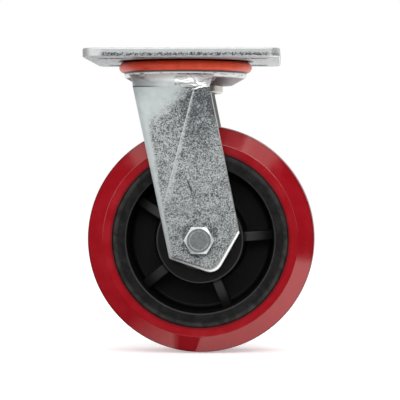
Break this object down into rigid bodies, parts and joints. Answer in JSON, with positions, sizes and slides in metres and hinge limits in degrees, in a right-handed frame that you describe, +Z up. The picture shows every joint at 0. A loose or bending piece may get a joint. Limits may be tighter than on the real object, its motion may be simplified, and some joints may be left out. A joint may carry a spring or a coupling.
{
  "type": "swivel castor",
  "caption": "Swivel castor with a bolt-on top plate, a double ball-race swivel head, a pressed steel fork and a red polyurethane wheel on ball bearings.",
  "frame": {"origin": "on the swivel axis, at the top face of the plate", "axes": "+Z up, out of the plate's top face; +X from the swivel axis towards the wheel axis; +Y along the axle, from the bolt head to the nut"},
  "size_m": [0.125, 0.114, 0.165],
  "materials": {
    "zinc": "bright zinc plate over rolled sheet, mottled",
    "zinc_turned": "zinc plate over turned steel",
    "zinc_bolt": "zinc plate, forged",
    "bearing_steel": "ground and polished",
    "red_polyurethane": "smooth satin cast polyurethane",
    "black_plastic": "matt moulded polypropylene",
    "orange_rubber": "satin silicone rubber",
    "nylon": "natural nylon"
  },
  "bodies": {
    "plate": {"top_plate": "zinc", "kingpin": "zinc_turned", "kingpin_nut": "zinc_turned", "lower_race": "zinc_turned"},
    "fork": {"fork": "zinc", "dust_seal": "orange_rubber", "axle_bolt": "zinc_bolt", "axle_nut": "zinc_bolt", "axle_nut_insert": "nylon", "axle_sleeve": "zinc_turned", "bearing_spacer": "zinc_turned", "left_hub_washer": "zinc_turned", "right_hub_washer": "zinc_turned", "left_bearing_inner_ring": "bearing_steel", "right_bearing_inner_ring": "bearing_steel"},
    "wheel": {"wheel_core": "black_plastic", "tyre": "red_polyurethane", "left_bearing_outer_ring": "bearing_steel", "right_bearing_outer_ring": "bearing_steel", "left_bearing_shields": "bearing_steel", "right_bearing_shields": "bearing_steel"},
    "upper_ball_ring": {"upper_balls": "bearing_steel"},
    "lower_ball_ring": {"lower_balls": "bearing_steel"},
    "left_bearing_ball_set": {"left_bearing_balls": "bearing_steel", "left_bearing_cage": "bearing_steel"},
    "right_bearing_ball_set": {"right_bearing_balls": "bearing_steel", "right_bearing_cage": "bearing_steel"}
  },
  "joints": [
    {"name": "swivel", "type": "hinge", "parent": "plate", "child": "fork", "pos_m": [0, 0, 0], "axis": [0, 0, 1], "continuous": true},
    {"name": "wheel_spin", "type": "hinge", "parent": "fork", "child": "wheel", "pos_m": [0.009, 0, -0.1025], "axis": [0, 1, 0], "continuous": true},
    {"name": "upper_ball_orbit", "type": "hinge", "parent": "plate", "child": "upper_ball_ring", "pos_m": [0, 0, 0], "axis": [0, 0, 1], "continuous": true},
    {"name": "lower_ball_orbit", "type": "hinge", "parent": "plate", "child": "lower_ball_ring", "pos_m": [0, 0, 0], "axis": [0, 0, 1], "continuous": true},
    {"name": "left_bearing_orbit", "type": "hinge", "parent": "fork", "child": "left_bearing_ball_set", "pos_m": [0.009, 0, -0.1025], "axis": [0, 1, 0], "continuous": true},
    {"name": "right_bearing_orbit", "type": "hinge", "parent": "fork", "child": "right_bearing_ball_set", "pos_m": [0.009, 0, -0.1025], "axis": [0, 1, 0], "continuous": true}
  ],
  "couplings": [
    {"joint": "upper_ball_orbit", "follows": "swivel", "ratio": 0.5},
    {"joint": "lower_ball_orbit", "follows": "swivel", "ratio": 0.5},
    {"joint": "left_bearing_orbit", "follows": "wheel_spin", "ratio": 0.60133},
    {"joint": "right_bearing_orbit", "follows": "wheel_spin", "ratio": 0.60133}
  ]
}
